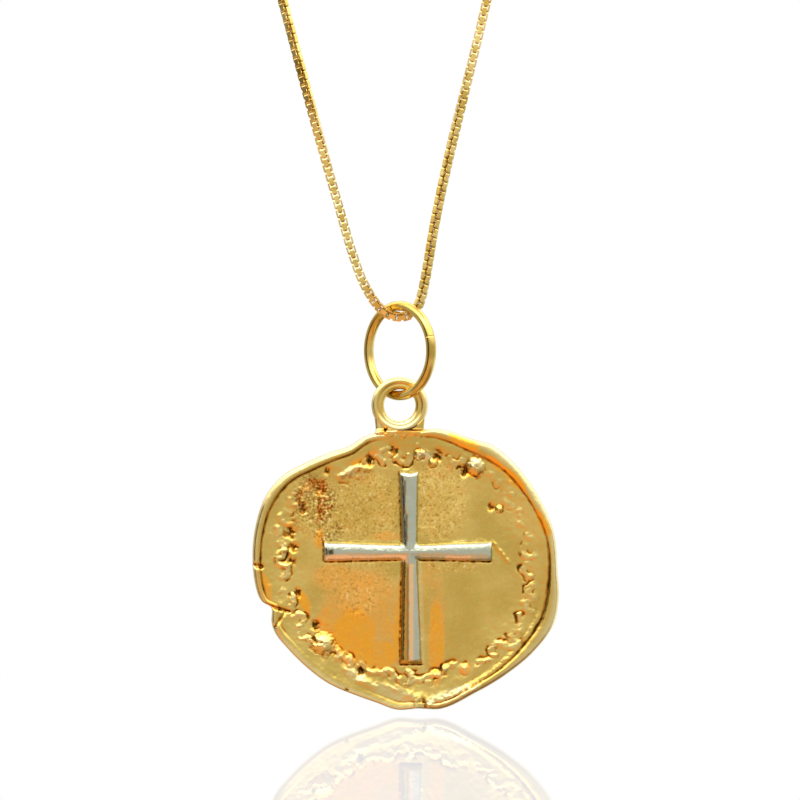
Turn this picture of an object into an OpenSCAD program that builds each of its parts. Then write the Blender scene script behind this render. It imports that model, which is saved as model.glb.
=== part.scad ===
// Cross medal pendant on a fine box chain, hanging free.
// Millimetres, +Z up, the medal faces -Y. The origin is the centre of the clasp at the top of the loop.

/* [Chain] */
// Width of the box chain across its flats
chain_w = 0.85; // [0.75:0.05:0.9]

/* [Jump ring] */
// Outer diameter of the jump ring
ring_od = 9.4; // [9:0.1:10]
// Thickness of the jump ring's round wire
ring_wire = 0.95; // [0.8:0.05:0.95]
// Turn of the jump ring about the vertical, its right side coming forward
ring_turn = 46; // [42:1:50]

/* [Eye] */
// Outer diameter of the eye cast on the medal's top
eye_od = 5.35; // [5.2:0.05:5.6]
// Hole of the eye
eye_hole = 3; // [3:0.05:3.2]
// Width of the neck where it meets the rim
neck_w = 4.6; // [4.4:0.1:5.2]

/* [Medal] */
// Size of the medal's outline, 1 for about 28.7 wide
medal_size = 1; // [0.97:0.01:1.03]
// Thickness of the medal at its field
field_t = 1.3; // [1.2:0.05:1.6]
// Rounding of the medal's edge
edge_round = 0.25; // [0.15:0.05:0.3]
// Height of the worn ornament over the field
mark_h = 0.26; // [0.2:0.02:0.4]

/* [Cross] */
// Height of the cross over the field
cross_h = 0.8; // [0.6:0.05:1]
// Height of the cross's upright sides, under its bevel
cross_side = 0.35; // [0.2:0.05:0.5]

/* [Clasp] */
// Outer diameter of the round clasp
clasp_od = 6; // [5.5:0.1:6.2]
// Thickness of the clasp's ring
clasp_wire = 1.2; // [1:0.05:1.3]
// Outer diameter of the eyelet on each side of the clasp
eyelet_od = 2.4; // [2.2:0.05:2.4]
// Thickness of the eyelets
eyelet_wire = 0.6; // [0.5:0.05:0.7]

/* [Hidden] */
$fn = 64;

// The chain's lowest point hangs this far below the clasp
loop_h = 197;
// Free space between the chain and the wire of the jump ring that hangs on it
ring_gap = 0.12;
// Free space between the ring's wire and the top of the eye's hole
eye_gap = 0.12;

// The chain's route [across, height over its lowest point], from the clasp's left eyelet
// down the left strand, through the jump ring and up the right strand to the right eyelet
route = [
    [-5.25, 196.65], [-12.4, 195], [-19.8, 191.4], [-26.6, 185.8], [-32.2, 178.6], [-36.4, 170],
    [-38.7, 160], [-38.8, 149], [-36.6, 136], [-32, 116], [-25.6, 88], [-11, 29.7],
    [-5.6, 9.9], [-4.4, 5.8], [-3.5, 3.4], [-2.9, 2.25], [-2.28, 1.32], [-1.65, 0.62],
    [-0.9, 0.15], [-0.1, 0], [0.7, 0.1], [1.3, 0.45], [1.75, 1.05], [2.05, 1.9],
    [2.3, 3], [2.6, 4.6], [3.1, 7.6], [8.2, 29.7], [22.2, 90], [29.3, 118],
    [34.6, 138.5], [37.6, 152], [38.2, 162.5], [36.2, 172], [31.9, 180], [26.2, 186.6],
    [19.4, 191.4], [12.2, 195], [5.25, 196.65]
];
// Steps of the smooth curve between two points of the route
route_steps = 2;
tube_sides = 8;

// The medal's rim, one row for each stretch
RIM_ANGLE = 0;  // degrees round the medal, from +X towards +Z
RIM_R = 1;      // radius of the outline
RIM_CREASE = 2; // where the crease inside the lip runs, as a share of the radius
RIM_LIP = 3;    // how much higher the lip stands than the crease beside it
RIM_MARKS = 4;  // how fresh the ornament is, 0 for worn away
rim = [
    [0, 14.4, 0.962, 0.12, 1],
    [15, 14.5, 0.96, 0.1, 0.8],
    [30, 14.4, 0.95, 0.12, 0.5],
    [45, 14.45, 0.935, 0.14, 0.3],
    [55, 14.4, 0.918, 0.14, 0.5],
    [63, 13.9, 0.935, 0.14, 0.7],
    [76, 13.7, 0.955, 0.08, 1],
    [86, 13.2, 0.975, 0.01, 1],
    [97, 13.1, 0.97, 0.01, 0.9],
    [105, 13.2, 0.965, 0.1, 0.8],
    [114, 12.8, 0.96, 0.16, 0.6],
    [122, 13.1, 0.955, 0.18, 0.4],
    [132, 13.7, 0.95, 0.2, 0.3],
    [142, 14.5, 0.953, 0.22, 0.4],
    [152, 14.8, 0.953, 0.2, 0.6],
    [162, 14.65, 0.96, 0.18, 0.8],
    [175, 14.35, 0.962, 0.16, 1],
    [187, 14.05, 0.965, 0.12, 1],
    [192, 13.75, 0.965, 0.1, 1],
    [195.5, 13, 0.96, 0.08, 1],
    [201, 13.4, 0.955, 0.1, 1],
    [206, 13.5, 0.95, 0.1, 1],
    [214, 13.2, 0.945, 0.06, 0.8],
    [224, 12.95, 0.94, 0.04, 0.9],
    [236, 12.8, 0.94, 0.04, 1],
    [248, 12.6, 0.945, 0.04, 1],
    [258, 12.7, 0.95, 0.06, 1],
    [267, 13.1, 0.955, 0.08, 1],
    [276, 13.05, 0.965, 0.1, 1],
    [285, 13.45, 0.97, 0.12, 1],
    [300, 13.3, 0.965, 0.14, 1],
    [315, 13.7, 0.957, 0.16, 1],
    [328, 14.35, 0.937, 0.16, 1],
    [340, 14.9, 0.925, 0.16, 1],
    [350, 14.75, 0.935, 0.14, 1]
];
rim_sides = 168;

// The field is flat out to this share of the radius, and from there rises to the rim
flat_share = 0.7;
rim_rise = 0.36;
rise_curve = 1.5;
// Depth and half width of the crease, the width as a share of the radius
crease_d = 0.08;
crease_share = 0.02;
// The lip is full at this share of the way from the crease to the edge, and from there rounds off
lip_start = 0.2;
lip_fall = 0.7;

// The ornament: cells round the medal, each with a generic stroke from the cycle below,
// at this share of the radius and at the medal's foot nearer in by the next value
cells = 44;
band_share = 0.83;
band_low = 0.06;
// How far a stroke strays from its cell, round in cells, outwards as a share and in degrees of turn
stray_round = 0.35;
stray_out = 0.035;
stray_turn = 40;
// Columns: bend radius, half the angle it spans, turn, half the stroke's width
strokes = [
    [0.62, 95, 180, 0.3],
    [0, 0, 0, 0.42],
    [0.55, 105, 165, 0.28],
    [3, 16, 20, 0.26],
    [0.5, 180, 0, 0.24],
    [0.66, 85, 200, 0.3],
    [2.4, 17, 160, 0.28],
    [0.58, 110, 20, 0.28],
    [0, 0, 0, 0.36]
];
// A stroke that spans less than this is placed by its middle, a rounder one by its bend's centre
bow_span = 60;
// Width that a stroke's soft side adds, and how far a stroke reaches from its place
stroke_side = 0.1;
stroke_reach = 1.5;

// The cross's arms, one row each. Columns: direction, length, width at the crossing, width at the end
arms = [
    [90.6, 7.5, 1.4, 1.8],
    [270.5, 10.5, 1.42, 2],
    [179.7, 8.05, 1.42, 1.82],
    [0.5, 7.7, 1.38, 1.86]
];
// How far the bevel comes in from each side of an arm, and how far an arm runs back past the crossing
cross_bevel = 0.38;
arm_back = 0.3;
// The crossing, measured from the medal's centre
cross_at = [0.52, 1.8];

// Depth of the neck at the eye, how far in front of the eye's middle it stands inside the rim,
// and how far below the eye's centre it begins and ends
neck_t = 1;
neck_front = 0.85;
neck_top = 1.15;
neck_low = 3.2;
// Longer than the neck is wide, high or deep
neck_clear = 8;

// The back leans by this much for each millimetre across: the left side is the thicker one,
// which brings the medal's weight under its eye
back_lean = 0.014;

// Heights and places worked out from the values above
ring_r = (ring_od - ring_wire) / 2;
ring_z = -loop_h + chain_w / 2 + ring_gap + ring_wire / 2 - ring_r;
eye_r = (eye_od + eye_hole) / 4;
eye_wire = (eye_od - eye_hole) / 2;
eye_z = ring_z - ring_r + ring_wire / 2 + eye_gap - eye_hole / 2;
medal_x = 0.43;
medal_drop = 15.52;
medal_z = eye_z - medal_drop * medal_size;
back_y = 0.65;
field_y = back_y - field_t;
clasp_r = (clasp_od - clasp_wire) / 2;
eyelet_r = (eyelet_od - eyelet_wire) / 2;
eyelet_x = clasp_od / 2 + eyelet_r - eyelet_wire / 3;

// Direction of a curve at point i of a list, weighted so that uneven spacing stays smooth
function gap_after(p, i) = norm(p[i + 1] - p[i]);
function heading(p, i) =
    i == 0 ? (p[1] - p[0]) / gap_after(p, 0) :
    i == len(p) - 1 ? (p[i] - p[i - 1]) / gap_after(p, i - 1) :
    let (before = gap_after(p, i - 1), after = gap_after(p, i))
    ((p[i] - p[i - 1]) / before * after + (p[i + 1] - p[i]) / after * before) / (before + after);

// A value carried smoothly from a to b, with slopes ma and mb, at s from 0 to 1 over a span
function ease(a, b, ma, mb, span, s) =
    (2 * s ^ 3 - 3 * s ^ 2 + 1) * a + (s ^ 3 - 2 * s ^ 2 + s) * span * ma
    + (3 * s ^ 2 - 2 * s ^ 3) * b + (s ^ 3 - s ^ 2) * span * mb;

function curve(p, steps) = [
    for (i = [0:len(p) - 2])
        for (j = [0:steps - 1])
            ease(p[i], p[i + 1], heading(p, i), heading(p, i + 1), gap_after(p, i), j / steps),
    p[len(p) - 1]
];

// Shell of a closed solid: rings of equal point counts, joined side by side and capped at both ends
module ringed_solid(rings) {
    n = len(rings[0]);
    last = len(rings) - 1;
    sides = [
        for (i = [0:last - 1])
            for (j = [0:n - 1])
                [i * n + j, i * n + (j + 1) % n, (i + 1) * n + (j + 1) % n, (i + 1) * n + j]
    ];
    halves = [for (q = sides) each [[q[0], q[1], q[2]], [q[0], q[2], q[3]]]];
    caps = [[for (j = [n - 1:-1:0]) j], [for (j = [0:n - 1]) last * n + j]];
    polyhedron([for (ring = rings) each ring], concat(halves, caps), convexity = 10);
}

// The chain's outer form: a tube with flat sides that follows the route
module chain() {
    path = curve(route, route_steps);
    half = chain_w / 2 / cos(180 / tube_sides);
    rings = [
        for (i = [0:len(path) - 1])
            let (way = heading(path, i), across = [way[1], -way[0]])
            [
                for (j = [0:tube_sides - 1])
                    let (a = (j + 0.5) * 360 / tube_sides)
                    [
                        path[i][0] + across[0] * half * cos(a),
                        half * sin(a),
                        path[i][1] + across[1] * half * cos(a) - loop_h
                    ]
            ]
    ];
    color("gold") ringed_solid(rings);
}

// A ring of round wire that stands in the plane of the medal
module wire_ring(radius, wire) {
    rotate([90, 0, 0])
        rotate_extrude()
            translate([radius, 0])
                circle(d = wire, $fn = 32);
}

// The eyelets lie flat, so that each one crosses the clasp's ring squarely
module clasp() {
    color("gold") union() {
        wire_ring(clasp_r, clasp_wire);
        for (side = [-1, 1])
            translate([side * eyelet_x, 0, 0])
                rotate([90, 0, 0])
                    wire_ring(eyelet_r, eyelet_wire);
    }
}

module jump_ring() {
    color("gold")
        translate([0, 0, ring_z])
            rotate([0, 0, -ring_turn])
                wire_ring(ring_r, ring_wire);
}

// The rim's row at any angle, with every column carried smoothly between the rows beside it
function rim_row(i) = rim[(i + len(rim)) % len(rim)];
function rim_angle(i) = rim_row(i)[RIM_ANGLE] + 360 * floor(i / len(rim));
function rim_slope(i, col) =
    (rim_row(i + 1)[col] - rim_row(i - 1)[col]) / (rim_angle(i + 1) - rim_angle(i - 1));
function rim_before(a) = max([for (i = [0:len(rim) - 1]) if (rim[i][RIM_ANGLE] <= a) i]);
function rim_at(a) =
    let (i = rim_before(a), span = rim_angle(i + 1) - rim_angle(i), s = (a - rim_angle(i)) / span)
    [for (col = [0:4]) col == RIM_ANGLE ? a :
        ease(rim_row(i)[col], rim_row(i + 1)[col], rim_slope(i, col), rim_slope(i + 1, col), span, s)];

// Even spread of small offsets between -0.5 and 0.5, the same each time
function stray(i, seed) = ((i * 37 + seed * 53) % 101) / 100 - 0.5;

// One stroke of the ornament for each cell: place round and out from the centre, shape and freshness
marks = [
    for (i = [0:cells - 1])
        let (
            angle = (i + stray_round * stray(i, 1)) * 360 / cells,
            row = rim_at(angle),
            kind = strokes[(i * 5 + floor(i / 7)) % len(strokes)],
            inwards = band_low * max(0, -sin(angle)) ^ 4,
            out = row[RIM_R] * (band_share - inwards + stray_out * stray(i, 2))
        )
        [out * cos(angle), out * sin(angle), angle + kind[2] + stray_turn * stray(i, 3),
            kind[0], kind[1], kind[3], row[RIM_MARKS]]
];

// Distance from a point to a stroke, which is an arc or, with no bend, a round pellet
function stroke_distance(p, m) =
    let (
        back = m[4] < bow_span ? m[3] : 0,
        x = p[0] - m[0] + back * cos(m[2]),
        z = p[1] - m[1] + back * sin(m[2]),
        across = x * cos(m[2]) + z * sin(m[2]),
        along = z * cos(m[2]) - x * sin(m[2]),
        a = max(-m[4], min(m[4], atan2(along, across)))
    )
    norm([across - m[3] * cos(a), along - m[3] * sin(a)]);
function mark_height(p) = max([
    for (m = marks)
        abs(p[0] - m[0]) > stroke_reach || abs(p[1] - m[1]) > stroke_reach ? 0 :
        mark_h * m[6] * sqrt(max(0, 1 - (stroke_distance(p, m) / (m[5] + stroke_side)) ^ 2))
]);

// Height of the front over the flat field, without the ornament
function smooth(s) = let (t = max(0, min(1, s))) t * t * (3 - 2 * t);
function front_height(share, row) =
    let (
        crease = row[RIM_CREASE],
        rise = rim_rise * max(0, (share - flat_share) / (1 - flat_share)) ^ rise_curve,
        groove = crease_d * exp(-((share - crease) / crease_share) ^ 2),
        t = (share - crease) / (1 - crease),
        lip = row[RIM_LIP] * smooth(t / lip_start),
        fall = lip_fall * max(0, (t - lip_start) / (1 - lip_start))
    )
    (rise + lip) * sqrt(1 - fall ^ 2) - groove;

// Steps at which the front face has a ring of points: from 0 at the centre to 1 at the crease,
// and from there to 2 at the edge
front_steps = [
    0.05, 0.35, 0.73, 0.76, 0.785, 0.81, 0.835, 0.86, 0.885, 0.91, 0.935, 0.96, 0.98, 1, 1.2, 1.6, 2
];
function step_share(step, crease) = step < 1 ? step * crease : crease + (step - 1) * (1 - crease);

// One ring of the front face
function front_ring(rows, step) = [
    for (row = rows)
        let (
            share = step_share(step, row[RIM_CREASE]),
            r = (row[RIM_R] - edge_round) * share,
            x = r * cos(row[RIM_ANGLE]),
            z = r * sin(row[RIM_ANGLE]),
            mark = step > flat_share && step < 1 ? mark_height([x, z]) : 0
        )
        [x, field_y - front_height(share, row) - mark, z]
];

// The edge's rings from front to back. Columns: how far in from the outline, as a share of the
// rounding, and how deep, from 0 at the front to 1 at the back
edge_steps = [[0.3, 0.2], [0, 0.55], [0.3, 0.85], [1, 1]];

// One ring of the edge, in from the outline by less, at a depth from 0 at the front to 1 at the back
function edge_ring(rows, less, depth) = [
    for (row = rows)
        let (
            r = row[RIM_R] - less,
            x = r * cos(row[RIM_ANGLE]),
            z = r * sin(row[RIM_ANGLE]),
            front = front_height(1, row)
        )
        [x, field_y - front + depth * (front + field_t - back_lean * x), z]
];

// The short plate between the eye and the rim, thicker towards the rim, with its top hollowed for the eye
module neck() {
    difference() {
        intersection() {
            rotate([90, 0, 0])
                linear_extrude(neck_clear, center = true)
                    polygon([
                        [-neck_w / 2, -neck_low], [neck_w / 2, -neck_low],
                        [eye_r, -neck_top], [-eye_r, -neck_top]
                    ]);
            rotate([90, 0, 90])
                linear_extrude(neck_clear, center = true)
                    polygon([
                        [-neck_front, -neck_low], [neck_t / 2, -neck_low],
                        [neck_t / 2, -neck_top], [-neck_t / 2, -neck_top]
                    ]);
        }
        rotate([90, 0, 0])
            cylinder(r = eye_r, h = neck_clear, center = true);
    }
}

module medal() {
    rows = [for (j = [0:rim_sides - 1]) rim_at(j * 360 / rim_sides)];
    front = [for (step = front_steps) front_ring(rows, step)];
    edge = [for (step = edge_steps) edge_ring(rows, edge_round * step[0], step[1])];
    color("gold") union() {
        translate([medal_x, 0, medal_z])
            scale(medal_size)
                ringed_solid(concat(front, edge));
        translate([0, 0, eye_z])
            wire_ring(eye_r, eye_wire);
        translate([0, 0, eye_z])
            neck();
    }
}

// One arm of the cross: upright sides, a bevel all round and a narrow top
module arm(length, root_w, end_w) {
    hull() {
        linear_extrude(cross_side)
            polygon([
                [-arm_back, -root_w / 2], [length, -end_w / 2],
                [length, end_w / 2], [-arm_back, root_w / 2]
            ]);
        linear_extrude(cross_h)
            polygon([
                [-arm_back, -root_w / 2 + cross_bevel],
                [length - cross_bevel, -end_w / 2 + cross_bevel],
                [length - cross_bevel, end_w / 2 - cross_bevel],
                [-arm_back, root_w / 2 - cross_bevel]
            ]);
    }
}

module cross() {
    color("silver")
        translate([medal_x + cross_at[0], field_y, medal_z + cross_at[1]])
            rotate([90, 0, 0])
                for (a = arms)
                    rotate([0, 0, a[0]])
                        arm(a[1], a[2], a[3]);
}

chain();
clasp();
jump_ring();
medal();
cross();
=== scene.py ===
import math

import bmesh
import bpy
import numpy as np
from mathutils import Matrix, Vector, noise


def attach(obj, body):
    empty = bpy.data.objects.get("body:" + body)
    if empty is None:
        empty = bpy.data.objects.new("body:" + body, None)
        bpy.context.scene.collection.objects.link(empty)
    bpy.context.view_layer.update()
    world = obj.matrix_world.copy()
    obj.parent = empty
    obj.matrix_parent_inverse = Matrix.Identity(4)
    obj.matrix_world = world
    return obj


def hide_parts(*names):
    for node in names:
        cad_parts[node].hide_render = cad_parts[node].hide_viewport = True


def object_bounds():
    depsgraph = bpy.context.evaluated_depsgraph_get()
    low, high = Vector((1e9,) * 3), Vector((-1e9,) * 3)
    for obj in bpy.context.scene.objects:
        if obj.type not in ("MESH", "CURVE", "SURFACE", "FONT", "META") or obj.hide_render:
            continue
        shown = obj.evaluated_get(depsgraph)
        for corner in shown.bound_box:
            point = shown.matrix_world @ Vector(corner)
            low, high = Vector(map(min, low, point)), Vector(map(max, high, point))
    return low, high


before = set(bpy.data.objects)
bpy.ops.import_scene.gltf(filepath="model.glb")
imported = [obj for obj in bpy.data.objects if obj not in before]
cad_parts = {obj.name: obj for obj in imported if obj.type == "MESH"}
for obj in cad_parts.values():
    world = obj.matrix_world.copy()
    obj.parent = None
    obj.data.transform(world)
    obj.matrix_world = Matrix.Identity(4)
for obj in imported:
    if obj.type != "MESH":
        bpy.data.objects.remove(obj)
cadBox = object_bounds()
mm = 0.001

print("stage: camera")
photo = {
    "lens": 100,  # mm
    "sensor": 36,  # mm
    "width": 75.2,  # mm of the object from the left to the right of the picture
    "middle": (0.03, -204.85),  # across and up, mm, what the picture's middle shows
}


def makeCamera():
    data = bpy.data.cameras.new("camera")
    data.lens = photo["lens"]
    data.sensor_width = photo["sensor"]
    data.clip_start = 0.01
    camera = bpy.data.objects.new("camera", data)
    bpy.context.scene.collection.objects.link(camera)
    away = photo["width"] * photo["lens"] / photo["sensor"]
    camera.location = Vector((photo["middle"][0], -away, photo["middle"][1])) * mm
    camera.rotation_euler = (math.radians(90), 0, 0)
    bpy.context.scene.camera = camera


makeCamera()

# places that the pieces share, mm, the same as in the part
chainWidth = 0.85
chainLow = -197  # the chain's lowest point
ringRadius = 4.225
ringWire = 0.94
ringTurn = math.radians(46)
ringHeight = -200.205
eyeHeight = -205.335
medalCentre = (0.43, -220.855)
fieldY = -0.65
backY = 0.65


class Flow:  # a shader value that Python's operators work on
    def __init__(self, finish, socket):
        self.finish = finish
        self.socket = socket

    def math(self, operation, first, second=None):
        values = {0: first} if second is None else {0: first, 1: second}
        return self.finish.node("Math", {"operation": operation}, values)

    def __add__(self, other):
        return self.math("ADD", self, other)

    def __radd__(self, other):
        return self.math("ADD", other, self)

    def __sub__(self, other):
        return self.math("SUBTRACT", self, other)

    def __rsub__(self, other):
        return self.math("SUBTRACT", other, self)

    def __mul__(self, other):
        return self.math("MULTIPLY", self, other)

    def __rmul__(self, other):
        return self.math("MULTIPLY", other, self)


class Finish:  # one material and the nodes that make it
    def __init__(self, name, owner=None):
        self.owner = owner or bpy.data.materials.new(name)
        self.owner.use_nodes = True
        self.tree = self.owner.node_tree

    def plug(self, socket, value):
        if isinstance(value, Flow):
            self.tree.links.new(value.socket, socket)
        else:
            socket.default_value = value

    def node(self, kind, settings=None, values=None, output=0):
        made = self.tree.nodes.new("ShaderNode" + kind)
        for name, setting in (settings or {}).items():
            setattr(made, name, setting)
        for name, value in (values or {}).items():
            self.plug(made.inputs[name], value)
        return Flow(self, made.outputs[output])

    def places(self):  # where a point of the piece lies, in mm
        point = self.node("TexCoord", output="Object")
        return self.node("VectorMath", {"operation": "SCALE"}, {0: point, "Scale": 1 / mm})

    def vector(self, operation, first, second=(0, 0, 0), output="Vector"):
        return self.node("VectorMath", {"operation": operation}, {0: first, 1: second}, output)

    def parts(self, vector):
        split = self.node("SeparateXYZ", values={0: vector})
        return [Flow(self, part) for part in split.socket.node.outputs]

    def speckle(self, point, size, detail=2.0, roughness=0.5):  # cloudy noise, its spots about size mm
        values = {"Vector": point, "Scale": 1 / size, "Detail": detail, "Roughness": roughness}
        return self.node("TexNoise", {}, values)

    def window(self, value, low, high):  # 0 below low, 1 above high
        settings = {"interpolation_type": "SMOOTHSTEP"}
        return self.node("MapRange", settings, {"Value": value, "From Min": low, "From Max": high})

    def attribute(self, name):
        return self.node("Attribute", {"attribute_name": name}, output="Fac")

    def mix(self, share, first, second):
        colours = {"Factor": share, 6: (*first, 1) if isinstance(first, tuple) else first}
        colours[7] = (*second, 1) if isinstance(second, tuple) else second
        return self.node("Mix", {"data_type": "RGBA"}, colours, output=2)

    def bump(self, height, depth, strength=1.0):  # depth in mm
        return self.node("Bump", {}, {"Height": height, "Distance": depth * mm, "Strength": strength})

    def surface(self, **values):
        shader = self.tree.nodes["Principled BSDF"]
        for name, value in values.items():
            self.plug(shader.inputs[name.replace("_", " ")], value)
        return self.owner


# gold and silver as they are lit here, linear colours
golds = {
    "bright": (0.76, 0.555, 0.155),
    "plain": (0.66, 0.46, 0.105),
    "glint": (1.0, 0.86, 0.48),
    "deep": (0.42, 0.22, 0.035),
    # orange, and tan in part, paint a warm reflection; amber, and dark in part, paint shade in hollows;
    # pale is worn metal and painted highlights
    "orange": (1.0, 0.46, 0.04),
    "amber": (0.5, 0.2, 0.02),
    "dark": (0.06, 0.035, 0.006),
    "pale": (0.88, 0.76, 0.42),
    "tan": (0.86, 0.48, 0.11),
    "rust": (0.58, 0.22, 0.025),
    "wire": (0.79, 0.58, 0.17),
    "wireDeep": (0.53, 0.35, 0.065),
    "link": (0.9, 0.7, 0.27),
    "linkDeep": (0.66, 0.45, 0.1),
}
silvers = {
    "plain": (0.48, 0.5, 0.37),
    "bright": (0.62, 0.64, 0.51),
    # the four tones from here on are painted reflections and shade on the cross's bevels
    "blush": (0.92, 0.7, 0.48),
    "rose": (1.0, 0.62, 0.3),
    "goldReflection": (0.58, 0.37, 0.08),
    "shade": (0.1, 0.085, 0.035),
}
wearAndLightLayers = ("paintedShade", "warmReflection", "grain", "rough", "pale")  # what the medal's mesh holds: grain, rough skin and worn metal, and its painted shade, painted warm reflection and painted highlights


def medalGold():
    finish = Finish("medalGold")
    point = finish.places()
    paintedShade, warmReflection, grain, rough, pale = [finish.attribute(name) for name in wearAndLightLayers]
    cloud = finish.speckle(point, 3.5, 3)
    middle = finish.speckle(point, 1.5, 4, 0.6)
    fine = finish.speckle(point, 0.24, 3, 0.6)
    upright = finish.vector("MULTIPLY", point, (1, 1, 0.45))
    # painted warm reflection, its edges broken by noise
    warm = warmReflection + 1.2 * finish.speckle(upright, 1.6, 8, 0.68) - 0.6 + 0.8 * (fine - 0.5)
    # painted shade in hollows, creases, seams and pits
    pit = paintedShade * (0.35 + 1.3 * middle)
    body = finish.mix(finish.window(cloud, 0.35, 0.7), golds["plain"], golds["bright"])
    shades = [  # where each tone lies, over those before it
        (finish.window(middle, 0.5, 0.7) * grain * 0.45, "tan"),
        # the painted warm reflection, tan then orange
        (finish.window(warm, 0.1, 0.7), "tan"),
        (finish.window(warm, 0.5, 1.1), "orange"),
        (finish.window(fine, 0.5, 0.3) * grain * 0.8, "deep"),
        (finish.window(fine, 0.58, 0.72) * grain * 0.7, "glint"),
        # pale paint: worn metal and painted highlights
        (pale * (0.6 + 0.6 * cloud), "pale"),
        # painted shade, amber then dark
        (finish.window(pit, 0.12, 0.6), "amber"),
        (finish.window(pit, 0.55, 1.1), "dark"),
        (finish.window(rough + middle, 1.15, 1.45), "rust"),
        (finish.window(fine, 0.56, 0.4) * rough * 0.75, "dark"),
        (finish.window(fine, 0.58, 0.7) * rough, "glint"),
    ]
    for share, tone in shades:
        body = finish.mix(share, body, golds[tone])
    roughness = 0.2 + 0.12 * cloud + 0.14 * grain
    height = 0.35 * fine * (0.25 + grain + rough) + finish.speckle(point, 0.9, 2) * 0.5
    return finish.surface(
        Base_Color=body, Metallic=1.0, Roughness=roughness, Normal=finish.bump(height, 0.05, 0.6)
    )


def wireGold(name, roughness, size, tone="wire"):  # drawn and polished wire
    finish = Finish(name)
    point = finish.places()
    cloud = finish.speckle(point, size * 2, 3)
    fine = finish.speckle(point, size / 4, 2)
    body = finish.mix(finish.window(cloud, 0.3, 0.7), golds[tone + "Deep"], golds[tone])
    return finish.surface(
        Base_Color=body,
        Metallic=1.0,
        Roughness=roughness + 0.08 * cloud,
        Normal=finish.bump(fine, 0.01, 0.4),
    )


# painted reflections and shade on the cross, the warm, gold and dark things its bevels would mirror: left,
# low, right, high, mm from the medal's centre
paintedCrossReflections = {
    "blush": [(-7.3, 0.5, 0.2, 1.5), (3.9, 0.5, 6.2, 1.46)],
    "rose": [(0.38, -8.3, 0.86, 0.6)],
    "goldReflection": [(-0.8, -9, 0.36, 0.7), (-0.6, -9, 1.6, -8.3)],
    "shade": [
        (-0.06, 5.2, 0.1, 8.5),
        (0.08, 2.5, 0.26, 5.2),
        (-7.1, 1.6, -6.6, 2.15),
        (0.28, -8.3, 0.38, 0.4),
    ],
}


def crossSilver():
    finish = Finish("crossSilver")
    point = finish.places()
    cloud = finish.speckle(point, 1.6, 3)
    fine = finish.speckle(point, 0.3, 2)
    across, _, up = finish.parts(point)
    x = across - medalCentre[0] + 0.3 * (cloud - 0.5)
    z = up - medalCentre[1] + 0.7 * (cloud - 0.5) + 0.3 * (fine - 0.5)
    soft = 0.15
    body = finish.mix(cloud, silvers["plain"], silvers["bright"])
    # paint the table's reflections and shade onto the silver
    for name, boxes in paintedCrossReflections.items():
        for left, low, right, high in boxes:
            wide = finish.window(x, left - soft, left + soft) * finish.window(x, right + soft, right - soft)
            tall = finish.window(z, low - soft, low + soft) * finish.window(z, high + soft, high - soft)
            body = finish.mix(wide * tall, body, silvers[name])
    return finish.surface(
        Base_Color=body,
        Metallic=1.0,
        Roughness=0.12 + 0.1 * cloud,
        Normal=finish.bump(0.3 * fine + cloud, 0.16, 0.7),
    )


def addMesh(bm, name, material):  # an object in metres from a bmesh in mm
    mesh = bpy.data.meshes.new(name)
    bm.to_mesh(mesh)
    bm.free()
    mesh.transform(Matrix.Scale(mm, 4))
    mesh.materials.append(material)
    made = bpy.data.objects.new(name, mesh)
    bpy.context.scene.collection.objects.link(made)
    return made


def finishPiece(bm, name, material, body, rounded=True):
    bmesh.ops.recalc_face_normals(bm, faces=bm.faces)
    for face in bm.faces:
        face.smooth = rounded
    piece = addMesh(bm, name, material)
    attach(piece, body)
    return piece


def addShell(bm, shell):  # puts another bmesh's faces into bm
    mesh = bpy.data.meshes.new("shell")
    shell.to_mesh(mesh)
    shell.free()
    bm.from_mesh(mesh)
    bpy.data.meshes.remove(mesh)


def everything(bm):
    return list(bm.verts) + list(bm.edges) + list(bm.faces)


def pointsOf(geom):
    return [g for g in geom if isinstance(g, bmesh.types.BMVert)]


def edgesOf(geom):
    return [g for g in geom if isinstance(g, bmesh.types.BMEdge)]


def openRims(bm):
    return [e for e in bm.edges if e.is_boundary]


print("stage: medal")
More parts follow.
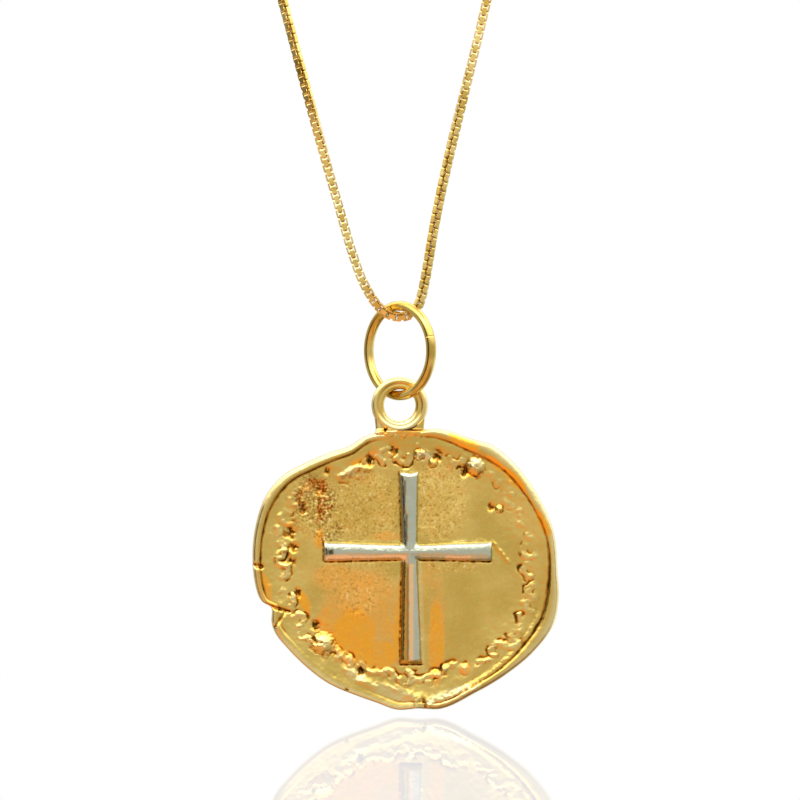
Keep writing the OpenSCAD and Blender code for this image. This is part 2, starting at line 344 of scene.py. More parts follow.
# the rim, a row for each stretch: degrees round, outline's radius, where the crease runs as a share of
# it, lip's height, freshness of the ornament, depths of the crease and of a second one inside it
rimColumns = ("degrees", "outline", "crease", "lip", "fresh", "depth", "secondDepth")
rimRows = [
    (0, 14.4, 0.962, 0.12, 0.75, 0.65, 0.5),
    (15, 14.5, 0.96, 0.1, 0.65, 0.4, 0),
    (30, 14.4, 0.95, 0.12, 0.5, 0.5, 0),
    (45, 14.45, 0.935, 0.14, 0.3, 0.5, 0),
    (55, 14.4, 0.918, 0.14, 0.5, 0.6, 0),
    (63, 13.9, 0.935, 0.14, 0.7, 0.7, 0),
    (76, 13.7, 0.955, 0.08, 1, 0.9, 0),
    (86, 13.2, 0.975, 0.01, 1, 0, 0),
    (97, 13.1, 0.97, 0.01, 0.9, 0, 0),
    (105, 13.2, 0.965, 0.07, 0.8, 0.6, 0),
    (114, 12.8, 0.96, 0.16, 0.6, 0.8, 0),
    (122, 13.1, 0.955, 0.18, 0.4, 0.75, 0),
    (132, 13.7, 0.95, 0.2, 0.3, 0.7, 0),
    (142, 14.5, 0.953, 0.22, 0.4, 0.6, 0.3),
    (152, 14.8, 0.953, 0.2, 0.6, 0.75, 0.5),
    (162, 14.65, 0.96, 0.18, 0.8, 1, 0.6),
    (175, 14.35, 0.962, 0.16, 1, 1, 0.5),
    (187, 14.05, 0.965, 0.12, 1, 0.8, 0),
    (192, 13.75, 0.965, 0.1, 1, 0.5, 0),
    (195.5, 13, 0.96, 0.08, 1, 0.4, 0),
    (201, 13.4, 0.955, 0.1, 1, 0.5, 0),
    (206, 13.5, 0.95, 0.1, 1, 0.3, 0),
    (214, 13.2, 0.945, 0.03, 0.8, 0.1, 0),
    (224, 12.95, 0.94, 0.01, 0.9, 0, 0),
    (236, 12.8, 0.94, 0.01, 1, 0, 0),
    (248, 12.6, 0.945, 0.01, 1, 0, 0),
    (258, 12.7, 0.95, 0.02, 1, 0.2, 0),
    (267, 13.1, 0.955, 0.03, 1, 0.4, 0),
    (276, 13.05, 0.965, 0.06, 1, 0.5, 0),
    (285, 13.45, 0.97, 0.12, 1, 0.6, 0.3),
    (300, 13.3, 0.965, 0.14, 1, 0.6, 0.7),
    (315, 13.7, 0.957, 0.16, 1, 0.65, 0.9),
    (328, 14.35, 0.937, 0.16, 0.85, 0.8, 1),
    (340, 14.9, 0.925, 0.16, 0.8, 1, 1),
    (350, 14.75, 0.935, 0.14, 0.75, 1, 0.8),
]
medal = {
    "frontGrid": 248,  # squares along each side of the front's grid
    "backGrid": 124,
    "gridStretch": 0.18,  # how much wider the squares are at the middle
    "flatShare": 0.7,
    "rise": 0.36,  # how much the field climbs to the rim
    "riseCurve": 1.5,
    "creaseDepth": 0.08,
    "creaseHalf": 0.02,
    "creaseLine": 0.01,  # half width of the dark line of painted shade in it
    # how dark the crease's painted shade is
    "creaseDark": 0.6,
    "secondCrease": 0.045,  # how far inside the first
    "lipStart": 0.2,  # share of the way from the crease to the edge at which the lip is full
    "lipFall": 0.7,
    "lipFull": 0.1,  # a lip lower than this, in mm, is less rounded
    "edgeRound": 0.25,
    # the edge from front to back: how far in from the outline, a share of the rounding, and how deep
    "edgeSteps": [
        (0.6, 0.07),
        (0.22, 0.22),
        (0.05, 0.38),
        (0, 0.54),
        (0.05, 0.72),
        (0.25, 0.87),
        (0.6, 0.96),
        (1.1, 1),
    ],
    "clear": 0.01,  # how far the outline stays inside the solid's
    "backLean": 0.014,
    "backDents": 0.03,  # depths of the unevenness of the back
    "backSkin": 0.012,
    "castRough": 0.02,  # height of the cast surface's unevenness
    "pittedRough": 0.06,  # and where it is pitted
    "hollowBlur": 5,  # squares over which a hollow is told from its surroundings
    "hollowDeep": 0.09,  # depth of a hollow whose painted shade is quite dark
    # pale paint on the rounded edge and on the rim's lip: worn metal and a painted highlight
    "edgePale": 0.8,
    "rimPale": 0.7,
}
ornament = {
    "cells": 44,
    "band": 0.83,
    "bandLow": 0.06,  # how much nearer the centre it runs at the foot
    "strayRound": 0.35,
    "strayOut": 0.035,
    "strayTurn": 40,
    "height": 0.105,
    "slim": 0.72,  # how much wear has narrowed its strokes
    "side": 0.1,  # and how much its sloping sides add to half its width
    "reach": 1.7,  # mm from its middle to which a stroke can go
    "warp": 0.26,  # mm that wear has moved its lines
    "lumps": 0.05,  # height of the cast unevenness between them
    "bowSpan": 60,  # a stroke of a smaller angle is placed by its middle, a bow by its bend's centre
    # bend radius, half the angle it spans, turn, half the stroke's width
    "strokes": [
        (0.62, 95, 180, 0.3),
        (0, 0, 0, 0.42),
        (0.55, 105, 165, 0.28),
        (3, 16, 20, 0.26),
        (0.5, 180, 0, 0.24),
        (0.66, 85, 200, 0.3),
        (2.4, 17, 160, 0.28),
        (0.58, 110, 20, 0.28),
        (0, 0, 0, 0.36),
    ],
    "moat": 0.12,  # greatest depth of the dip along a stroke's inner side
    "moatGap": 0.1,
    "moatHalf": 0.14,
    "moatOuter": 0.15,  # how much of it there is along the outer side
    # painted shade in the dip, and pale paint on the tops: worn metal and a painted highlight
    "moatDark": 0.8,
    "topPale": 0.32,
    # shares of the radius: where it starts and is whole, and where it has ended and is still whole
    "within": (0.6, 0.7, 0.97, 0.94),
}
# clouds of noise that make the metal uneven: size of their spots, seed, octaves
clouds = {
    "strokeAcross": (0.9, 21, 2),
    "strokeUp": (0.9, 34, 2),
    "strokeWear": (0.9, 45, 3),
    "dips": (1.2, 56, 2),
    "lumps": (0.45, 67, 3),
    "relief": (0.35, 5, 3),
    "skin": (1.1, 3, 4),
    "pittedSkin": (0.4, 8, 3),
    "pitted": (1.2, 78, 3),
    "creaseSway": (0.8, 91, 2),
    "creaseWear": (1.5, 92, 3),
    "backDents": (4, 11, 2),
    "backSkin": (0.9, 12, 3),
    "neck": (0.8, 13, 3),
}


def ease(first, last, slopeFirst, slopeLast, span, s):  # a smooth way from one value to the next
    start = (2 * s**3 - 3 * s**2 + 1) * first + (s**3 - 2 * s**2 + s) * span * slopeFirst
    return start + (3 * s**2 - 2 * s**3) * last + (s**3 - s**2) * span * slopeLast


def smooth(low, high, value):  # 0 up to low, 1 from high on
    s = np.clip((value - low) / (high - low), 0, 1)
    return s * s * (3 - 2 * s)


def bell(away, half=1):  # 1 at no distance, about a third at half
    return np.exp(-((away / half) ** 2))


def noiseAt(x, z, name):
    size, seed, octaves = clouds[name]
    spots = [Vector((a, b, seed)) for a, b in zip(x / size, z / size)]
    return np.array([noise.fractal(spot, 0.8, 2.1, octaves) for spot in spots])


def rimAt(degrees, name):  # a column of the rim's table, carried smoothly round
    rows = np.array(rimRows)
    column = rimColumns.index(name)
    angles = np.concatenate([rows[-1:, 0] - 360, rows[:, 0], rows[:2, 0] + 360])
    values = np.concatenate([rows[-1:, column], rows[:, column], rows[:2, column]])
    slopes = np.zeros(len(angles))
    slopes[1:-1] = (values[2:] - values[:-2]) / (angles[2:] - angles[:-2])
    i = np.clip(np.searchsorted(angles, degrees, side="right") - 1, 1, len(angles) - 3)
    span = angles[i + 1] - angles[i]
    s = (degrees - angles[i]) / span
    return ease(values[i], values[i + 1], slopes[i], slopes[i + 1], span, s)


def stray(i, seed):  # small offsets between -0.5 and 0.5, the same each time
    return ((i * 37 + seed * 53) % 101) / 100 - 0.5


def ornamentMarks():
    marks = []
    count = ornament["cells"]
    strokes = ornament["strokes"]
    for i in range(count):
        angle = (i + ornament["strayRound"] * stray(i, 1)) * 360 / count
        bend, span, turn, width = strokes[(i * 5 + i // 7) % len(strokes)]
        inwards = ornament["bandLow"] * max(0, -math.sin(math.radians(angle))) ** 4
        share = ornament["band"] - inwards + ornament["strayOut"] * stray(i, 2)
        out = rimAt(angle % 360, "outline") * share
        across = out * math.cos(math.radians(angle))
        up = out * math.sin(math.radians(angle))
        turned = math.radians(angle + turn + ornament["strayTurn"] * stray(i, 3))
        marks.append((across, up, turned, bend, span, width, rimAt(angle % 360, "fresh")))
    return marks


def strokeDistance(x, z, mark):
    across, up, turned, bend, span, _, _ = mark
    back = bend if span < ornament["bowSpan"] else 0
    dx = x - across + back * math.cos(turned)
    dz = z - up + back * math.sin(turned)
    along = dz * math.cos(turned) - dx * math.sin(turned)
    aside = dx * math.cos(turned) + dz * math.sin(turned)
    limit = math.radians(span)
    a = np.clip(np.arctan2(along, aside), -limit, limit)
    return np.hypot(aside - bend * np.cos(a), along - bend * np.sin(a))


def ornamentRelief(x, z):  # its height, the painted shade of its dips, and how pale its tops are painted, worn metal and a painted highlight
    top = np.zeros_like(x)
    dip = np.zeros_like(x)
    outer = ornament["moatOuter"]
    warpedX = x + ornament["warp"] * noiseAt(x, z, "strokeAcross")
    warpedZ = z + ornament["warp"] * noiseAt(x, z, "strokeUp")
    for mark in ornamentMarks():
        across, up, _, _, _, width, fresh = mark
        near = (abs(x - across) < ornament["reach"]) & (abs(z - up) < ornament["reach"])
        away = strokeDistance(warpedX[near], warpedZ[near], mark)
        half = width * ornament["slim"] + ornament["side"]
        inwards = smooth(-0.2, 0.6, math.hypot(across, up) - np.hypot(x[near], z[near]))
        moat = bell(away - half - ornament["moatGap"], ornament["moatHalf"])
        moat *= outer + (1 - outer) * inwards
        top[near] = np.maximum(top[near], fresh * (1 - smooth(0.1 * half, 1.35 * half, away)))
        dip[near] = np.maximum(dip[near], fresh * moat)
    wear = np.clip(0.75 + 1.1 * noiseAt(x, z, "strokeWear"), 0.1, 1.2)
    dip *= smooth(-0.25, 0.4, noiseAt(x, z, "dips")) * (1 - smooth(0, 0.5, top))
    lumps = ornament["lumps"] * noiseAt(x, z, "lumps") * (0.3 + top)
    height = ornament["height"] * top * wear - ornament["moat"] * dip + lumps
    return height, ornament["moatDark"] * dip, ornament["topPale"] * top * wear


def frontHeight(share, degrees):
    crease = rimAt(degrees, "crease")
    lip = rimAt(degrees, "lip")
    out = np.clip((share - medal["flatShare"]) / (1 - medal["flatShare"]), 0, 1)
    t = np.clip((share - crease) / (1 - crease), 0, 1)
    height = medal["rise"] * out ** medal["riseCurve"] + lip * smooth(0, medal["lipStart"], t)
    fall = medal["lipFall"] * np.clip((t - medal["lipStart"]) / (1 - medal["lipStart"]), 0, 1)
    fall *= np.clip(lip / medal["lipFull"], 0, 1)
    first = bell(share - crease, medal["creaseHalf"]) * rimAt(degrees, "depth")
    inner = crease - medal["secondCrease"]
    second = bell(share - inner, medal["creaseHalf"]) * rimAt(degrees, "secondDepth")
    return height * np.sqrt(1 - fall**2) - medal["creaseDepth"] * (first + second)


def wornGrid(across, up):  # a square grid whose points can hold the wear
    bm = bmesh.new()
    for name in wearAndLightLayers:
        bm.verts.layers.float.new(name)
    bmesh.ops.create_grid(bm, x_segments=across, y_segments=up, size=1)
    u, v = np.array([p.co[:2] for p in bm.verts]).T
    return bm, u, v


def discGrid(count):  # a grid with each point's share of the radius and degrees round
    bm, u, v = wornGrid(count, count)
    share = np.maximum(abs(u), abs(v))
    safe = np.maximum(share, 1e-6)
    sideways = abs(u) >= abs(v)
    degrees = np.where(sideways, v / safe * 45, 90 - u / safe * 45)
    degrees = np.where(sideways & (u < 0), 180 - v / safe * 45, degrees)
    degrees = np.where(~sideways & (v < 0), 270 + u / safe * 45, degrees)
    stretch = medal["gridStretch"]
    return bm, share * (1 + stretch - stretch * share), degrees % 360


def discPlaces(share, degrees, less):
    radius = (rimAt(degrees, "outline") - less - medal["clear"]) * share
    return radius * np.cos(np.radians(degrees)), radius * np.sin(np.radians(degrees))


def patches(x, z, rows):  # soft ellipses: across, up, half width, half height, degrees turned, strength
    total = np.zeros_like(x)
    for across, up, wide, high, turn, strength in rows:
        c = math.cos(math.radians(turn))
        s = math.sin(math.radians(turn))
        dx = ((x - across) * c + (z - up) * s) / wide
        dz = ((z - up) * c - (x - across) * s) / high
        total = np.maximum(total, strength * (1 - smooth(0.7, 1.25, np.hypot(dx, dz))))
    return total


def segmentDistance(x, z, start, end):
    dx = end[0] - start[0]
    dz = end[1] - start[1]
    s = np.clip(((x - start[0]) * dx + (z - start[1]) * dz) / (dx * dx + dz * dz), 0, 1)
    return np.hypot(x - start[0] - s * dx, z - start[1] - s * dz)


cross = {
    "centre": (0.52, 1.8),  # the crossing, from the medal's centre
    "height": 0.8,
    "bevel": 0.56,
    "back": 0.3,
    # direction, length, width at the crossing, width at the end
    "arms": [
        (0.5, 7.7, 1.38, 1.86),
        (90.6, 7.5, 1.4, 1.8),
        (179.7, 8.05, 1.42, 1.82),
        (270.5, 10.5, 1.42, 2),
    ],
    "sunk": 0.05,  # how far its base lies under the field
    "slice": 0.3,  # spacing of the cuts that let the arms be uneven
    "sliceFrom": 1,  # where they begin, from the crossing
    "sliceEnd": 1.1,  # how much is left whole at an arm's end
    "uneven": 0.035,
    "unevenScale": 1.6,  # noise for each mm
    "unevenFrom": 0.3,  # height from which its faces are fully uneven
    "ridge": 0.07,  # how far the middle of an arm stands over the sides of its top
}


def crossOutline():  # corners of the cross, round from the right arm's lower end
    corners = []
    for direction, length, root, end in cross["arms"]:
        turn = Matrix.Rotation(math.radians(direction), 2)
        for side in (-1, 1):
            near = turn @ Vector((-cross["back"], side * root / 2))
            far = turn @ Vector((length, side * end / 2))
            corners.append((near, far))
    outline = []
    for i in range(4):
        inLeft, outLeft = corners[2 * i + 1]
        _, outRight = corners[2 * i]
        nextIn, nextOut = corners[(2 * i + 2) % 8]
        a = outLeft - inLeft
        b = nextOut - nextIn
        gap = nextIn - inLeft
        # how far along its left side this arm meets the right side of the next one
        s = (gap.x * b.y - gap.y * b.x) / (a.x * b.y - a.y * b.x)
        outline += [outRight, outLeft, inLeft + s * a]
    centre = Vector(cross["centre"])
    return [p + centre for p in outline]


relief = {
    "solder": 0.035,  # ridge over and to the right of the cross
    "solderWide": 0.2,
    "gap": 0.12,  # dip under and to the left of it
    "gapWide": 0.16,
    # painted shade in that dip
    "gapDark": 0.95,
    # raised lines: start, end, half width, height
    "lines": [
        ((1.3, 3.9), (2.8, 4.0), 0.11, 0.035),
        ((2.8, 4.0), (3.5, 2.7), 0.11, 0.035),
        ((8.4, 2.6), (9.8, 0.8), 0.15, 0.1),
        ((-6.0, 8.9), (-4.3, 9.7), 0.24, 0.16),
        ((-4.3, 9.7), (-3.2, 9.5), 0.22, 0.12),
        ((-10.4, 7.6), (-10.0, 6.0), 0.4, 0.05),
        ((-5.5, -9.2), (-4.9, -9.6), 0.35, 0.1),
        ((-4.2, -10.2), (-2.7, -10.8), 0.35, 0.1),
        ((-1.6, -10.9), (-0.6, -11.1), 0.38, 0.08),
        ((0.3, -11.5), (1.7, -12.0), 0.4, 0.12),
        ((1.1, -12.1), (1.2, -12.8), 0.2, 0.12),
        ((2.4, -12.3), (6.3, -11.0), 0.42, 0.14),
        ((6.8, -10.6), (10.6, -7.2), 0.35, 0.08),
        ((11.4, -6.2), (12.6, -4.2), 0.3, 0.05),
    ],
    # cuts: start, end, half width, depth
    "cuts": [
        ((-13.2, -3.1), (-10.8, -3.8), 0.16, 0.28),
        ((-11.2, -3.9), (-12.1, -5.2), 0.14, 0.16),
        ((2.15, -13.4), (1.75, -12.0), 0.16, 0.2),
        ((-5.7, -11.7), (-5.4, -11.1), 0.14, 0.2),
        ((-14.2, 0.6), (-13.4, 0.4), 0.2, 0.3),
        ((-5.6, -4.0), (-4.4, -3.8), 0.2, 0.02),
        ((-4.4, -3.8), (-3.6, -3.0), 0.2, 0.02),
        ((2.85, -4.8), (2.4, -5.9), 0.14, 0.04),
        ((2.55, -6.8), (2.5, -8.0), 0.14, 0.04),
    ],
    # pellets: across, up, radius, height
    "pellets": [
        (-7.55, -6.8, 1.0, 0.36),
        (6.65, 9.8, 0.8, 0.28),
        (1.4, 10.9, 0.5, 0.25),
        (2.7, 10.1, 0.4, 0.2),
        (8.9, 5.8, 0.35, 0.25),
    ],
    "pelletEdge": 0.25,  # how uneven their outlines are
    "pelletGroove": (1.15, 0.14, 0.05),  # round each: where and how wide, shares of the radius, and depth
    "ring": (-11.2, 1.2, 0.75, 0.17, 0.13),  # across, up, radius, half width, height
    # painted shade in the pits
    "pitDark": 0.9,
    "pitHigh": 0.8,  # pits are a little taller than wide
    # how high each kind is where the noise is nought, and how much the noise changes it
    "sway": {
        "solder": (0.7, 1.4),
        "gap": (0.9, 0.8),
        "lines": (1, 0.6),
        "pellets": (1, 0.5),
        "pits": (1, 0.8),
    },
    # pits in the cast skin: across, up, radius, depth
    "pits": [
        (-3.2, 10.4, 0.4, 0.3),
        (-7.9, 7.6, 0.35, 0.25),
        (-10.6, 3.5, 0.42, 0.3),
        (-10.4, 2.2, 0.34, 0.25),
        (-10.5, 0.9, 0.3, 0.2),
        (-9.5, 5.7, 0.3, 0.25),
        (-7.2, 9.4, 0.26, 0.2),
        (-10.0, -2.0, 0.28, 0.2),
        (-1.0, 11.3, 0.35, 0.25),
        (3.1, 10.8, 0.4, 0.3),
        (5.6, 9.3, 0.35, 0.35),
        (8.1, 6.0, 0.25, 0.25),
        (-8.3, -5.1, 0.35, 0.3),
        (-4.1, -9.4, 0.3, 0.3),
    ],
    "evenGrain": 0.15,  # what the whole medal has
    # rows for patches: the pitted skin, the grainy skin and the painted warm reflection
    "rough": [(-8.3, 6.6, 1.9, 2.6, 20, 1.0), (-7.0, 3.6, 1.4, 1.2, 0, 0.7)],
    "grain": [
        (-8.3, 6.2, 2.6, 3.4, 15, 1.0),
        (-3.4, 6.0, 3.6, 3.4, 0, 1.0),
        (3.2, 6.6, 2.6, 3.8, 0, 1.0),
        (-4.5, -0.6, 3.6, 2.4, 0, 0.5),
        (4.6, 0.6, 2.6, 0.8, 0, 0.9),
        (-4.3, -2.5, 1.9, 1.8, 0, 0.9),
    ],
    "warmReflection": [
        (-4.8, -6.0, 2.4, 2.8, -20, 1.0),
        (-2.4, -7.8, 1.9, 1.5, 0, 0.95),
        (-6.6, -4.6, 2.2, 1.6, 40, 0.75),
        (-3.8, -3.8, 4.0, 4.2, 0, 0.6),
        (-6.6, -0.6, 2.0, 1.4, 0, 0.6),
        (-0.5, -4.6, 0.5, 4.4, -3, 0.85),
        (3.0, -6.6, 0.8, 4.3, 0, 0.95),
        (2.6, -3.0, 1.6, 4.4, 0, 0.35),
        (-1.6, 3.2, 1.5, 0.5, 0, 0.6),
        (5.7, -9.2, 0.5, 0.8, -30, 0.7),
        (0.4, 13.0, 1.3, 0.4, 0, 0.8),
        (-8.4, 8.0, 1.4, 0.5, 20, 0.7),
        (6.5, 9.1, 0.7, 0.4, 0, 1.1),
        (-3.6, 10.6, 1.6, 0.5, 22, 0.5),
        (5.6, 12.1, 1.6, 0.5, -27, 1.4),
        (8.6, 10.0, 1.2, 0.4, -42, 1.0),
        (10.3, 8.6, 1.5, 0.5, -47, 1.3),
        (13.0, 4.5, 1.4, 0.4, -64, 1.2),
        (-12.4, -3.3, 0.7, 0.4, -20, 0.9),
        (-12.9, -1.5, 0.5, 1.5, 18, 0.9),
        (-9.4, -2.9, 0.5, 1.2, 25, 1.1),
        (-10.8, 4.3, 0.35, 0.3, 0, 1.1),
        (-4.5, 10.2, 0.6, 0.3, 20, 1.0),
        (-7.9, 3.0, 0.5, 1.0, 0, 0.8),
    ],
    # paler metal: painted highlights where the rim looks worn and on raised marks, and a painted reflection
    # along the cross's foot
    "pale": [
        (-1.0, -11.4, 2.6, 0.6, -20, 0.4),
        (4.4, -11.6, 2.8, 0.6, 18, 0.6),
        (1.62, -3.8, 0.2, 5.6, 2, 0.4),
        (-4.5, -9.8, 1.2, 0.5, -30, 0.5),
        (-7.4, -6.5, 0.8, 0.5, 0, 0.6),
        (6.7, 10.1, 0.7, 0.5, 0, 0.8),
        (1.7, 10.7, 0.9, 0.4, 0, 0.7),
        (-5.0, 9.4, 1.2, 0.4, 25, 0.4),
    ],
}


def crossSeam(x, z):  # distance to the cross's outline, and how far that side faces down or to the left, which sets the shade painted there
    outline = crossOutline()
    seam = np.full_like(x, 9.0)
    shaded = np.zeros_like(x)
    for start, end in zip(outline, outline[1:] + outline[:1]):
        away = segmentDistance(x, z, start, end)
        outwards = Vector((end.y - start.y, start.x - end.x)).normalized()
        shaded = np.where(away < seam, -outwards.y - 0.5 * outwards.x, shaded)
        seam = np.minimum(seam, away)
    return seam, np.clip(shaded, 0, 1)


def reliefHeight(x, z):  # the relief, and the painted shade of its pits and of its seam with the cross
    uneven = noiseAt(x, z, "relief")
    sway = {kind: even + share * uneven for kind, (even, share) in relief["sway"].items()}
    seam, shaded = crossSeam(x, z)
    shade = shaded * bell(seam, relief["gapWide"]) * sway["gap"]
    height = (shaded == 0) * relief["solder"] * bell(seam, relief["solderWide"]) * sway["solder"]
    height -= relief["gap"] * shade
    for start, end, half, high in relief["lines"]:
        height += high * bell(segmentDistance(x, z, start, end), half) * sway["lines"]
    groove, grooveHalf, grooveDeep = relief["pelletGroove"]
    for across, up, radius, high in relief["pellets"]:
        away = np.hypot(x - across, z - up) / radius + relief["pelletEdge"] * uneven
        height += high * smooth(groove, 0.2, away) * sway["pellets"]
        height -= grooveDeep * bell(away - groove, grooveHalf)
    across, up, radius, half, high = relief["ring"]
    height += high * bell(np.hypot(x - across, z - up) - radius, half)
    dark = relief["gapDark"] * shade
    for across, up, radius, deep in relief["pits"]:
        pit = bell(np.hypot(x - across, (z - up) * relief["pitHigh"]), radius) * sway["pits"]
        height -= deep * pit
        dark = np.maximum(dark, relief["pitDark"] * pit)
    for start, end, half, deep in relief["cuts"]:
        height -= deep * bell(segmentDistance(x, z, start, end), half)
    return height, dark


def blur(grid, times):
    side = len(grid)
    for _ in range(times):
        wide = np.pad(grid, 1, mode="edge")
        grid = sum(wide[i : i + side, j : j + side] for i in range(3) for j in range(3)) / 9
    return grid


def setPoints(bm, places, layers):
    handles = [(bm.verts.layers.float[name], values) for name, values in layers.items()]
    for i, point in enumerate(bm.verts):
        point.co = places[i]
        for layer, values in handles:
            point[layer] = values[i]


def frontCavity(x, z, share, degrees, height):  # painted shade: how dark the hollows and the crease are
    side = medal["frontGrid"] + 1
    squares = height.reshape(side, side)
    hollow = (blur(squares, medal["hollowBlur"]) - squares).ravel() / medal["hollowDeep"]
    half = medal["creaseLine"] * (1 + rimAt(degrees, "secondDepth"))
    away = (share - rimAt(degrees, "crease")) / half + 0.8 * noiseAt(x, z, "creaseSway")
    wear = np.clip(0.8 + 1.2 * noiseAt(x, z, "creaseWear"), 0.2, 1.3)
    return hollow + medal["creaseDark"] * rimAt(degrees, "depth") * bell(away) * wear


def medalFront():
    bm, share, degrees = discGrid(medal["frontGrid"])
    x, z = discPlaces(share, degrees, medal["edgeRound"])
    starts, whole, ended, stillWhole = ornament["within"]
    band = smooth(starts, whole, share) * smooth(ended, stillWhole, share)
    marks, dips, tops = [layer * band for layer in ornamentRelief(x, z)]
    details, shades = reliefHeight(x, z)
    rough = patches(x, z, relief["rough"])
    height = frontHeight(share, degrees) + marks + details
    height += medal["castRough"] * noiseAt(x, z, "skin")
    height += medal["pittedRough"] * rough * noiseAt(x, z, "pittedSkin")
    # painted shade: hollows, crease, ornament dips, pits and the seam with the cross
    paintedShade = frontCavity(x, z, share, degrees, height) + dips + shades
    crease = rimAt(degrees, "crease")
    # pale paint on the lip: worn metal and a painted highlight
    wornAndHighlit = medal["rimPale"] * smooth(0.3, 1, (share - crease) / (1 - crease))
    # the painted warm reflection, kept off the pale paint and the raised marks
    warmReflection = patches(x, z, relief["warmReflection"])
    pale = np.maximum(wornAndHighlit, patches(x, z, relief["pale"])) * (1 - np.clip(warmReflection, 0, 0.9))
    grain = np.clip(patches(x, z, relief["grain"]) + relief["evenGrain"], 0, 1)
    layers = {
        "paintedShade": np.clip(paintedShade, 0, 1),
        "warmReflection": warmReflection * (1 - 0.8 * smooth(0.06, 0.16, marks + details)),
        "grain": grain * smooth(0.95, 0.8, share),
        "rough": rough * (0.5 + 0.5 * smooth(-0.3, 0.3, noiseAt(x, z, "pitted"))),
        "pale": np.clip(pale + tops, 0, 1),
    }
    setPoints(bm, list(zip(x, fieldY - height, z)), layers)
    return bm


def medalEdge(bm):
    border = openRims(bm)
    paintedShade = bm.verts.layers.float["paintedShade"]
    pale = bm.verts.layers.float["pale"]
    for less, depth in medal["edgeSteps"]:
        made = bmesh.ops.extrude_edge_only(bm, edges=border)["geom"]
        border = [e for e in edgesOf(made) if e.is_boundary]
        points = pointsOf(made)
        whole = np.ones(len(points))
        degrees = np.array([math.degrees(math.atan2(p.co.z, p.co.x)) % 360 for p in points])
        x, z = discPlaces(whole, degrees, less * medal["edgeRound"])
        front = fieldY - frontHeight(whole, degrees)
        y = front + depth * (backY - front - medal["backLean"] * x)
        for point, place in zip(points, zip(x, y, z)):
            point.co = place
            # no painted shade on the edge, and pale paint: worn metal and a painted highlight
            point[paintedShade] = 0
            point[pale] = medal["edgePale"]


def medalBack():
    bm, share, degrees = discGrid(medal["backGrid"])
    x, z = discPlaces(share, degrees, 2 * medal["edgeRound"])
    dents = medal["backDents"] * noiseAt(x, z, "backDents") + medal["backSkin"] * noiseAt(x, z, "backSkin")
    y = backY - medal["backLean"] * x - np.abs(dents)
    setPoints(bm, list(zip(x, y, z)), {"grain": np.full_like(x, 2 * relief["evenGrain"])})
    return bm


eye = {
    "inner": 1.48,
    "outer": 2.675,
    "beads": [(1.83, 0.35, 0.5), (2.29, 0.385, 0.585)],  # middle, half width, half depth
    "valley": 2.05,  # radius of the groove between them
    "valleyHalf": 0.16,
    # painted shade in the groove
    "valleyDark": 0.34,
    "valleyFill": 0.16,  # how much it is filled at the eye's foot
    "foot": (0.3, 0.85),  # how far down the foot begins and is whole, shares of the radius
    # pale paint on the outer bead and the foot: worn metal and a painted highlight
    "wornAndHighlit": 0.8,
    "profile": 18,  # points along each half of the section
    "steps": 112,
}


def spinWhole(bm, geom, height, steps):  # a full turn about the axis that runs from front to back
    cent = (0, 0, height)
    bmesh.ops.spin(bm, geom=geom, cent=cent, axis=(0, 1, 0), angle=2 * math.pi, steps=steps, use_merge=True)
    bmesh.ops.remove_doubles(bm, verts=bm.verts, dist=1e-5)


def eyeRing():
    bm = bmesh.new()
    middle = (eye["outer"] + eye["inner"]) / 2
    half = (eye["outer"] - eye["inner"]) / 2
    paintedShade = bm.verts.layers.float.new("paintedShade")
    pale = bm.verts.layers.float.new("pale")
    section = []
    for i in range(2 * eye["profile"]):
        turn = math.pi * i / eye["profile"]
        out = middle + half * math.cos(turn)
        deep = max(d * math.sqrt(max(0, 1 - ((out - c) / w) ** 2)) for c, w, d in eye["beads"])
        section.append(bm.verts.new((out, math.copysign(deep, math.sin(turn)), eyeHeight)))
    loop = [bm.edges.new((a, b)) for a, b in zip(section, section[1:] + section[:1])]
    spinWhole(bm, section + loop, eyeHeight, eye["steps"])
    for point in bm.verts:
        up = point.co.z - eyeHeight
        out = math.hypot(point.co.x, up)
        foot = smooth(*eye["foot"], -up / out)
        groove = bell(out - eye["valley"], eye["valleyHalf"])
        point.co.y *= 1 + eye["valleyFill"] * foot * groove
        # painted shade in the groove, pale paint on the outer bead and the foot
        point[paintedShade] = eye["valleyDark"] * groove * (1 - foot)
        point[pale] = eye["wornAndHighlit"] * max(smooth(eye["valley"], eye["outer"], out), foot)
    return bm


neck = {  # the short plate between the eye and the rim; heights are from the eye's middle
    "columns": 64,
    "rows": 32,
    "top": -1.2,
    "low": -3.4,
    "ringReach": 2.1,  # its top follows a circle of this radius round the eye's hole
    "half": (2.36, 2.22),  # half widths at the top and at the bottom
    "waist": 0.04,
    "flare": 0.3,  # how much wider it gets where it meets the rim, between these heights
    "flareSpan": (-2.3, -2.9),
    "round": 0.5,  # how far in from its sides the plate is rounded
    "side": 0.25,  # half thickness at its sides
    "back": 0.45,
    "front": (0.45, 1.05, 0.84),  # how far it stands forward at the eye, over the rim and inside the rim
    "rimSpan": (-2.26, -2.42),  # heights between which it comes forward over the rim
    "insideSpan": (-2.85, -3.3),  # and falls back inside it
    "curve": 0.06,  # how much its lower end is rounded
    "uneven": 0.03,
    "slit": (-1.33, -2.24, 0.12, 0.36, 0.35),  # across, up, half width, half height, depth
    "spot": (-0.75, -2.36, 0.5, 0.18, 0, 1),  # a painted highlight beside it, a row for patches
    "warmSpan": (-2.15, -2.35),  # heights between which it takes the painted warm reflection and darker painted shade
    "warmReflection": 0.7,
    "warmDark": 0.2,
    "lineLow": (-2.46, -2.38),  # lower edge of the dark line of painted shade there, and its left end
    "lineLeft": (-0.5, 0.1),
    "sidePale": 0.6,
}


